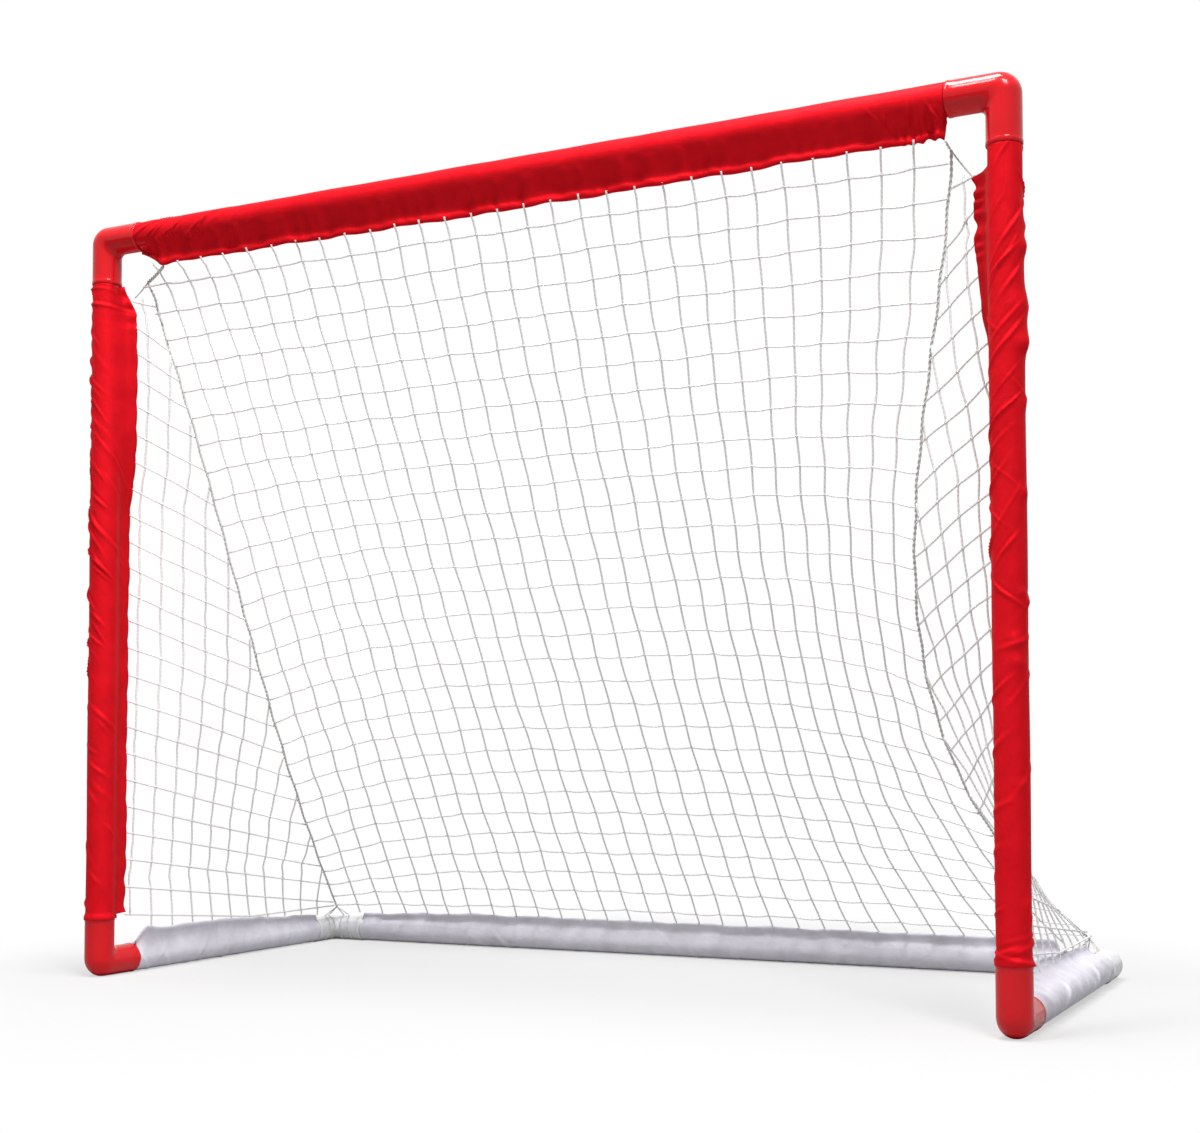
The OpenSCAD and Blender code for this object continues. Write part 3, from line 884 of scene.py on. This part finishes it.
def fold_in(side, s):
    """Distance of a side's fold in from its post: drawn in by a bow, with a zigzag of 2.5 mm
    where the rows pull on it and a kink of 5 mm near the top of the left one."""
    fold = FOLDS[side]
    zigzag = 2.5 * np.abs((s * NET_HEIGHT / CELL + 0.2) % 2 - 1) * smooth(1, 0.9, s)
    kink = 5 * np.exp(-((s - 0.036) / 0.016) ** 2) * (side < 0)
    drawn = fold["draw_in"] * bow(s, fold["skew_in"])
    return mix(fold["top_in"], WHITE_IN + BORDER, s) + drawn + zigzag * (s > 0) + kink


def fold_y(side, s):
    """Depth of a side's fold, which bows forward."""
    fold = FOLDS[side]
    top, end = FRONT_Y + fold["top_back"], REAR_Y - WHITE_IN - BORDER
    return mix(top, end, s) - fold["forward"] * bow(s, fold["skew"])


def fold_point(side, s):
    """The fold between the back and a side, at s from 0 at the crossbar to 1 at the base."""
    s = np.asarray(s, float)
    return np.stack([side * (POST_X - fold_in(side, s)), fold_y(side, s), net_z(s)], axis=-1)


def back_point(u, s):
    """The back net, at u from -1 at the left fold to 1 at the right one.

    x = sign(u) (TOP_HALF |u| - drawn |u|^1.75), y = mid + (fold - mid) |u|^2.5 (1 - (1 - s)^12).
    """
    u, s = np.broadcast_arrays(np.asarray(u, float), np.asarray(s, float))
    a = np.abs(u)
    drawn = TOP_HALF - POST_X + np.where(u < 0, fold_in(-1, s), fold_in(1, s))
    x = np.sign(u) * (TOP_HALF * a - drawn * a ** 1.75)
    held = 1 - (1 - np.clip(s, 0, 1)) ** 12
    y = mid_y(s) + (np.where(u < 0, fold_y(-1, s), fold_y(1, s)) - mid_y(s)) * a ** 2.5 * held
    return np.stack([x, y, net_z(s)], axis=-1)


def flange_turn(s):
    """Turn of a post's flange from the mouth's plane: the net draws it round to the back."""
    return mix(RED_TURN, RED_TURN_LOW, smooth(0.1, 0.42, s))


def post_edge(side, s):
    """Free edge of a post's flange, where its side net is sewn. Above s = 0.05 and below 0.94
    it keeps the reach it has there, so that the net doesn't follow the flange's cut ends."""
    turn = flange_turn(s)
    reach, sway = post_flange(side, net_z(np.clip(s, 0.05, 0.94)))
    reach = CLOTH_R + reach + 0.4
    x = -side * reach * np.cos(turn) + sway * np.sin(turn)
    y = reach * np.sin(turn) + side * sway * np.cos(turn)
    return np.stack([side * POST_X + x, FRONT_Y + y, net_z(s)], axis=-1)


def side_width(side, s):
    """Level distance from a post's flange to its fold."""
    return np.linalg.norm((fold_point(side, s) - post_edge(side, s))[..., :2], axis=-1)


def side_point(side, w, s):
    """A side net, at w millimetres from the post's flange towards the fold.

    Its foot turns towards the rail's flange as s^6 (1 - t^3 (1 - s^60)), t being the share of
    the way to the fold, so that the fold itself stays where it is.
    """
    w, s = np.broadcast_arrays(np.asarray(w, float), np.asarray(s, float))
    t = np.clip(w / side_width(side, s), 0, 1)
    edge = post_edge(side, s)
    p = mix(edge, fold_point(side, s), t[..., None])
    rail_in = mix(POST_X - side * edge[..., 0], WHITE_IN, 1 - (1 - t) ** 3)
    s = np.clip(s, 0, 1)
    foot = s ** 6 * (1 - t ** 3 * (1 - s ** 60))
    x = mix(p[..., 0], side * (POST_X - rail_in), foot)
    return np.stack([x, p[..., 1], p[..., 2]], axis=-1)


def slack(points, height=1.6):
    """Shifts points a little with their place, so that no cell is quite square: sums of sines
    with wavelengths of 90 to 400 mm."""
    x, z = points[..., 0], points[..., 2]
    dx = np.sin(z / 15.3 + x / 61) + np.sin(x / 27 - z / 41 + 2)
    dz = np.sin(x / 14.1 + z / 57) + np.sin(z / 29 + x / 37 + 1)
    dy = np.sin(x / 43 + z / 51) + np.sin(x / 23 - z / 31)
    return points + height * 0.5 * np.stack([dx, dy, dz], axis=-1)


# ---------- The net ----------

def column_u(c):
    """Place u of the back net's column c, counted from the middle. They lie a little further
    apart towards the folds, before the folds draw them in."""
    return 0.065 * c + 0.8e-5 * c ** 3


def row_s(cell):
    """Heights of the back net's rows, down the slope of its middle: the first is 0.64 of a
    cell from the top and row j is 0.974 j + 0.001 j^2 cells further. The last leaves at least
    0.3 of a cell to the base."""
    s = np.linspace(0, 1, 2001)
    run = np.hypot(np.gradient(mid_y(s)), np.gradient(net_z(s)))
    run = np.concatenate([[0], np.cumsum(run[1:])])
    j = np.arange(MOST_ROWS)
    places = cell * (0.64 + 0.974 * j + 0.001 * j ** 2)
    return np.interp(places[places < run[-1] - 0.3 * cell], run, s)


def droop(u, s):
    """How far a row hangs below its height in the middle: 48 |u / 0.949|^3.5 mm, and nothing
    at the crossbar and the base."""
    far = np.abs(u) / 0.949
    return 48 * smooth(0, 0.6, s) * far ** 3.5 * (1 - np.clip(s, 0, 1) ** 12) / NET_HEIGHT


def row_point(u, s):
    """The back net at u, on the row that lies at s in its middle."""
    return back_point(u, s + droop(u, s))


def thirds(stops):
    """Where stops lie with two more points between each pair, and the points' places counted
    in stops."""
    part = np.linspace(0, len(stops) - 1, 3 * (len(stops) - 1) + 1)
    return np.interp(part, np.arange(len(stops)), stops), part


def back_netting(rows):
    """Strands of the back net: 29 columns, and the rows between the folds.

    A row sags by 4 d t (1 - t) between two knots, t being the share of the way, d 1.2 mm.
    """
    s, _ = thirds(np.concatenate([[STRAND_TOP, 0.0], rows, [STRAND_END]]))
    down = slack(row_point(column_u(BACK_COLUMNS)[:, None], s[None]))
    # Each strand's upper end is sewn to the front of the crossbar's hem
    down[..., 1] -= 2.6 * smooth(0.006, 0.001, s)
    u, part = thirds(np.concatenate([[-1.0], column_u(BACK_COLUMNS), [1.0]]))
    over = slack(row_point(u[None], rows[:, None]))
    t = part[None] % 1
    over[..., 2] -= 1.2 * 4 * t * (1 - t)
    return down, over


def knots_at(surface, first, second):
    """Knots where strands cross: places and directions from a surface of two parameters."""
    here = slack(surface(first, second))
    right = unit(slack(surface(first + 1e-3, second)) - here)
    below = unit(slack(surface(first, second + 1e-3)) - here)
    return here.reshape(-1, 3), right.reshape(-1, 3), below.reshape(-1, 3)


def side_rows():
    """Heights at the post of a side net's rows, 0.0404 of the net's height apart, and how
    steeply each falls to the fold: 0.08 at the base, 0.5 from a third of the way down, up to
    0.75 above that, and less again in the top row."""
    s = np.arange(0.0402, 0.985, 0.0404)
    fall = np.minimum(0.5, 0.07 + 0.64 * (1 - s)) + 0.25 * smooth(0.2, 0.05, s)
    return s, fall * smooth(0.02, 0.07, s)


def column_w(k, s):
    """Distance of a side net's column k from the flange: they are 32.5 mm apart, and 46.5 at
    the base."""
    low = np.clip(s, 0, 1) ** 5
    return 15 - 6 * low + k * (32.5 + 14 * low)


def side_height(s0, fall, w):
    """Height of a row that starts at s0 and falls by fall for each millimetre of w."""
    return np.minimum(s0 + fall * w / NET_HEIGHT, 0.996)


def settled(step, value):
    """The value that a step no longer changes, after twelve turns of it."""
    for _ in range(12):
        value = step(value)
    return value


def side_netting(side):
    """Strands of a side net, and w and s of its knots."""
    s = np.linspace(0, 1, 1001)
    downs = []
    for k in SIDE_COLUMNS:
        inside = np.nonzero((column_w(k, s) < side_width(side, s) - 1) & (s > 0.036))[0]
        if len(inside) and s[inside[0]] < 0.985:
            # The first strand ends at the last row, above the gap between post and base cloth
            run = np.linspace(s[inside[0]], LAST_ROW if k == 0 else STRAND_END, 80)
            downs.append(slack(side_point(side, column_w(k, run), run)))
    s0, fall = side_rows()
    width = settled(
        lambda width: side_width(side, side_height(s0, fall, width)), side_width(side, s0)
    )
    s0, fall = s0[:, None], fall[:, None]
    w = width[:, None] * np.linspace(0, 1, 40)[None]
    overs = slack(side_point(side, w, side_height(s0, fall, w)))
    k = SIDE_COLUMNS[None]
    at = settled(lambda at: side_height(s0, fall, column_w(k, at)), s0 + 0.0 * k)
    w = column_w(k, at)
    inside = w < side_width(side, at) - 6
    return np.array(downs), overs, w[inside], at[inside]


class GOAL_OT_netting(bpy.types.Operator):
    """Make the back net and the two side nets, with their knots"""

    bl_idname = "goal.netting"
    bl_label = "Netting"

    def execute(self, context):
        twine = size("twine") / 2
        knot = size("knot") * np.array([0.5, 0.36, 0.34])
        finish = finish_of("polyester_twine")
        rows = row_s(size("cell"))
        down, over = back_netting(rows)
        knots = knots_at(row_point, column_u(BACK_COLUMNS)[None], rows[:, None])
        parts = [cords(down, twine, 5), cords(over, twine, 5), lumps(*knots, knot)]
        declare(piece("back_netting", parts, finish), "back_net")
        for side, hand in SIDES:
            down, over, w, s = side_netting(side)
            knots = knots_at(lambda w, s: side_point(side, w, s), w, s)
            parts = [cords(down, twine, 5, X), cords(over, twine, 5, X), lumps(*knots, knot)]
            declare(piece(f"{hand}_side_netting", parts, finish), f"{hand}_side_net")
        return {"FINISHED"}


# ---------- Cords ----------

def doubled(path, strand, pitch):
    """Two strands twisted round a path, each with its middle nearly half a strand from it and
    nine rings a turn."""
    run = np.concatenate([[0], np.cumsum(np.linalg.norm(np.diff(path, axis=0), axis=1))])
    n = int(run[-1] / pitch * 9)
    even = np.linspace(0, run[-1], n)
    line = np.stack([np.interp(even, run, path[:, i]) for i in range(3)], axis=1)
    along = unit(np.gradient(line, axis=0))
    e1 = unit(np.cross(along, Y))
    e2 = np.cross(along, e1)
    turn = TAU * even / pitch
    strands = [
        line + strand * 0.48 * (np.cos(turn + a)[:, None] * e1 + np.sin(turn + a)[:, None] * e2)
        for a in (0, np.pi)
    ]
    return cords(np.array(strands), strand / 2, 6)


def corner_ties(side, radius):
    """Four strands from a fold's foot, each round the inside of the corner elbow to the floor."""
    foot = fold_point(side, 1.0)
    angle = np.radians(np.linspace(72, -52, 14))
    inward, up = radius * np.cos(angle), FLOOR_Z + radius * np.sin(angle)
    paths = []
    for start, end in ((26, 30), (38, 50)):
        off = np.linspace(start, end, 14)
        for x, y in ((inward, off), (off, inward)):
            arc = np.stack([side * (POST_X - x), REAR_Y - y, up], axis=1)
            air = mix(foot, arc[0], np.linspace(0, 1, 6)[:, None])
            paths.append(np.concatenate([air[:-1], arc]))
    return np.array(paths)


class GOAL_OT_border_cords(bpy.types.Operator):
    """Make the doubled cords down the folds and across the top corners"""

    bl_idname = "goal.border_cords"
    bl_label = "Border Cords"

    def execute(self, context):
        strand = size("fold_cord")
        finish = finish_of("polyester_cord")
        r = BORDER / 2
        for side, hand in SIDES:
            corner = CORNERS[side]
            s = np.linspace(corner["fold_s"], 1, 120)
            fold = doubled(fold_point(side, s), strand, 15)
            tied = cords(corner_ties(side, ELBOW_R + strand), strand / 2)
            made = piece(f"{hand}_fold_cord", [fold, tied], finish)
            declare(made, f"{hand}_net_seam_cord")

            # From the end of the crossbar's flange to the fold, and on to the post's flange
            tie = fold_point(side, s[0])
            bar_end = np.array([
                side * (POST_X - corner["bar_in"]), FRONT_Y + r, BAR_Z - RED_REACH - 3,
            ])
            sewn = (NET_TOP - (POST_HIGH - corner["down"])) / NET_HEIGHT
            post_end = post_edge(side, sewn) + (0, r, 0)
            t = np.linspace(0, 1, 12)[:, None]
            hang = np.array([0, 0, 5]) * t * (1 - t)
            thick = doubled(mix(bar_end, tie, t) - hang, strand * corner["apart"], 14)
            thin = cords((mix(tie, post_end, t) - hang)[None], strand / 2)
            made = piece(f"{hand}_top_corner_cord", [thick, thin], finish)
            declare(made, f"{hand}_corner_cord", "front_frame")
        return {"FINISHED"}


# ---------- Stage ----------

FLOOR_HALF = 12000
WHITE = (1, 1, 1, 1)
CAMERA_PLACE = (1.10691, -2.26201, 0.31377)
CAMERA_YAW, CAMERA_PITCH, CAMERA_ROLL = 0.4540, 0.0456, -0.0014
CAMERA_LENS, CAMERA_RISE = 52.0365, 0.0951


class GOAL_OT_stage(bpy.types.Operator):
    """Make the floor, the lights and the camera"""

    bl_idname = "goal.stage"
    bl_label = "Stage"

    def execute(self, context):
        self.floor()
        self.world()
        self.lights()
        self.camera()
        context.scene.view_settings.view_transform = "Standard"
        return {"FINISHED"}

    def floor(self):
        """A flat floor that keeps the goal's shadow and turns plain white away from the goal."""
        corner = FLOOR_HALF * np.array([[-1, -1, 0], [1, -1, 0], [1, 1, 0], [-1, 1, 0]])
        material, tree = new_material("painted_floor")
        seen = add(tree, "ShaderNodeLightPath").outputs["Is Camera Ray"]
        # The camera sees a pale floor, and the goal stands over a greyer one
        tone = toned(tree, shade("floor"), between(tree, seen, 0.78, 1.0))
        matt = add(tree, "ShaderNodeBsdfDiffuse", {"Color": tone})
        white = add(tree, "ShaderNodeEmission", {"Color": WHITE, "Strength": 1})
        place = add(tree, "ShaderNodeTexCoord").outputs["Object"]
        away = add(tree, "ShaderNodeVectorMath", {0: place}, operation="LENGTH")
        clear = between(tree, away.outputs["Value"], 0.44, 1.0, 0.5, 1.15,
                        interpolation_type="SMOOTHSTEP")
        share = add(tree, "ShaderNodeMath", {0: seen, 1: clear}, operation="MULTIPLY")
        both = add(tree, "ShaderNodeMixShader", {
            0: share.outputs["Value"], 1: matt.outputs["BSDF"], 2: white.outputs["Emission"],
        })
        add(tree, "ShaderNodeOutputMaterial", {"Surface": both.outputs["Shader"]})
        face = np.array([[0, 1, 2, 3]]), corner[None, :, :2]
        piece("studio_floor", [(corner, [face])], material, closed=False)

    def world(self):
        """Plain grey light all round, seen as white by the camera and in reflections."""
        world = bpy.data.worlds.new("studio")
        bpy.context.scene.world = world
        tree = bare_tree(world)
        path = add(tree, "ShaderNodeLightPath")
        light = add(tree, "ShaderNodeBackground", {"Color": WHITE, "Strength": 0.15})
        white = add(tree, "ShaderNodeBackground", {"Color": WHITE, "Strength": 1})
        seen = add(tree, "ShaderNodeMath", {
            0: path.outputs["Is Camera Ray"], 1: path.outputs["Is Glossy Ray"],
        }, operation="ADD")
        both = add(tree, "ShaderNodeMixShader", {
            0: seen.outputs["Value"], 1: light.outputs["Background"],
            2: white.outputs["Background"],
        })
        add(tree, "ShaderNodeOutputWorld", {"Surface": both.outputs["Shader"]})

    def lights(self):
        """Three soft lights: overhead, high at the right front and high in front."""
        for name, place, aim, width, depth, power in (
            ("overhead", (0.3, -0.5, 3.0), (0, -0.15, 0.6), 1.0, 0.7, 62),
            ("right", (1.8, -2.1, 3.7), (0, -0.2, 0.6), 1.0, 1.0, 100),
            ("front", (-0.5, -2.1, 3.9), (0, -0.3, 0.8), 1.0, 0.6, 70),
        ):
            light = bpy.data.lights.new(name, "AREA")
            light.shape = "RECTANGLE"
            light.size, light.size_y, light.energy = width, depth, power
            lamp = bpy.data.objects.new(name, light)
            bpy.context.scene.collection.objects.link(lamp)
            lamp.location = place
            lamp.rotation_euler = (Vector(aim) - Vector(place)).to_track_quat("-Z", "Y").to_euler()

    def camera(self):
        """A camera low at the right front, with level verticals and the frame moved up."""
        camera = bpy.data.cameras.new("studio_camera")
        camera.lens, camera.sensor_width, camera.sensor_fit = CAMERA_LENS, 36, "HORIZONTAL"
        camera.shift_y = CAMERA_RISE
        camera.clip_end = 100
        made = bpy.data.objects.new("studio_camera", camera)
        bpy.context.scene.collection.objects.link(made)
        ahead = np.array([-np.sin(CAMERA_YAW) * np.cos(CAMERA_PITCH),
                          np.cos(CAMERA_YAW) * np.cos(CAMERA_PITCH), np.sin(CAMERA_PITCH)])
        right = np.array([np.cos(CAMERA_YAW), np.sin(CAMERA_YAW), 0])
        up = np.cross(right, ahead)
        tilt = np.cos(CAMERA_ROLL), np.sin(CAMERA_ROLL)
        right, up = right * tilt[0] + up * tilt[1], up * tilt[0] - right * tilt[1]
        turn = Matrix(np.stack([right, up, -ahead], axis=1).tolist()).to_4x4()
        made.matrix_world = Matrix.Translation(CAMERA_PLACE) @ turn
        bpy.context.scene.camera = made


# ---------- Add-on ----------

OPERATORS = (
    GOAL_OT_stage, GOAL_OT_tubes, GOAL_OT_elbows, GOAL_OT_crossbar_sleeve,
    GOAL_OT_post_sleeves, GOAL_OT_base_sleeves, GOAL_OT_netting, GOAL_OT_border_cords,
)


class GOAL_PT_panel(bpy.types.Panel):
    """Lists the goal's pieces and its changeable sizes and colours"""

    bl_label = "Street Hockey Goal"
    bl_space_type = "VIEW_3D"
    bl_region_type = "UI"
    bl_category = "Goal"

    def draw(self, context):
        layout = self.layout
        for group in (context.scene.goal_sizes, context.scene.goal_colours):
            for key in group.__annotations__:
                layout.prop(group, key)
        for operator in OPERATORS:
            layout.operator(operator.bl_idname)


CLASSES = (GoalSizes, GoalColours, *OPERATORS, GOAL_PT_panel)


def register():
    for item in CLASSES:
        bpy.utils.register_class(item)
    bpy.types.Scene.goal_sizes = PointerProperty(type=GoalSizes)
    bpy.types.Scene.goal_colours = PointerProperty(type=GoalColours)


def unregister():
    del bpy.types.Scene.goal_sizes
    del bpy.types.Scene.goal_colours
    for item in reversed(CLASSES):
        bpy.utils.unregister_class(item)


def main():
    register()
    for operator in OPERATORS:
        getattr(bpy.ops.goal, operator.bl_idname.split(".")[1])()


if __name__ == "__main__":
    main()
